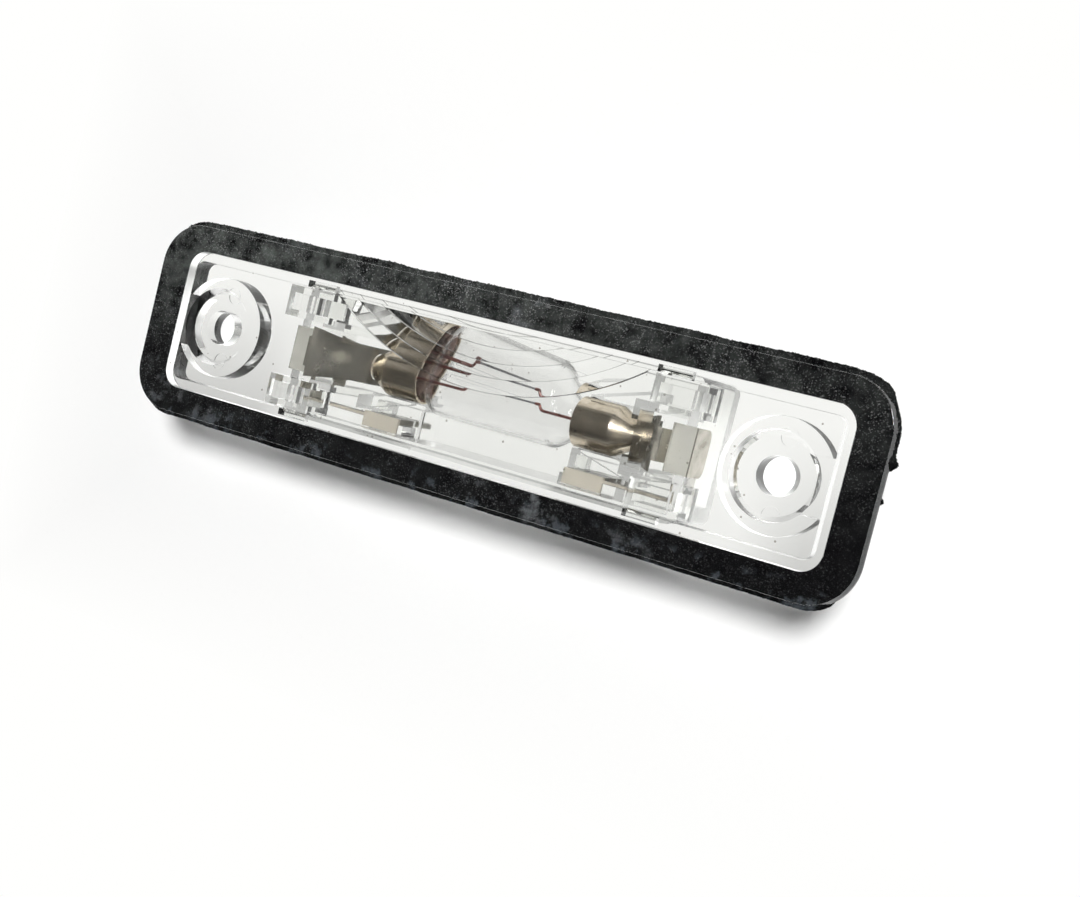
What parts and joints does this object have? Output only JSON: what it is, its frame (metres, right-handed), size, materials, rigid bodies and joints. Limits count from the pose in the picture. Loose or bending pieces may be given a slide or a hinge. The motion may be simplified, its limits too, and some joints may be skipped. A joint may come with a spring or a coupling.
{
  "type": "number plate lamp",
  "caption": "Clear rectangular number plate lamp with a foam gasket, screw bosses, a clear carrier behind the lens and a festoon bulb between spring contacts.",
  "frame": {"origin": "midway between the two screw holes, on the mounting plane, which is the back face of the gasket", "axes": "+X along the lamp to its right end, +Y towards the side with the prisms, +Z out of the front face of the lens"},
  "size_m": [0.1212, 0.0311, 0.0184],
  "materials": {
    "lens_plastic": "clear moulded plastic, polished",
    "carrier_plastic": "clear moulded plastic, slightly cloudy",
    "foam": "black closed-cell foam with a cut edge",
    "contact_metal": "tinned brass spring strip, tarnished",
    "bulb_glass": "clear blown glass",
    "cap_metal": "nickel-plated drawn metal, slightly tarnished",
    "cement": "brown lamp cement",
    "solder": "dull solder",
    "lead_metal": "copper-coated lead wire",
    "filament_metal": "coiled tungsten wire"
  },
  "bodies": {
    "root": {"lens": "lens_plastic", "gasket": "foam", "bulb_carrier": "carrier_plastic", "contact_left": "contact_metal", "contact_right": "contact_metal", "bulb_glass": "bulb_glass", "bulb_cap_left": "cap_metal", "bulb_cap_right": "cap_metal", "cap_cement_left": "cement", "cap_cement_right": "cement", "solder_tip_left": "solder", "solder_tip_right": "solder", "lead_wire_left": "lead_metal", "lead_wire_right": "lead_metal", "filament": "filament_metal"}
  },
  "joints": []
}
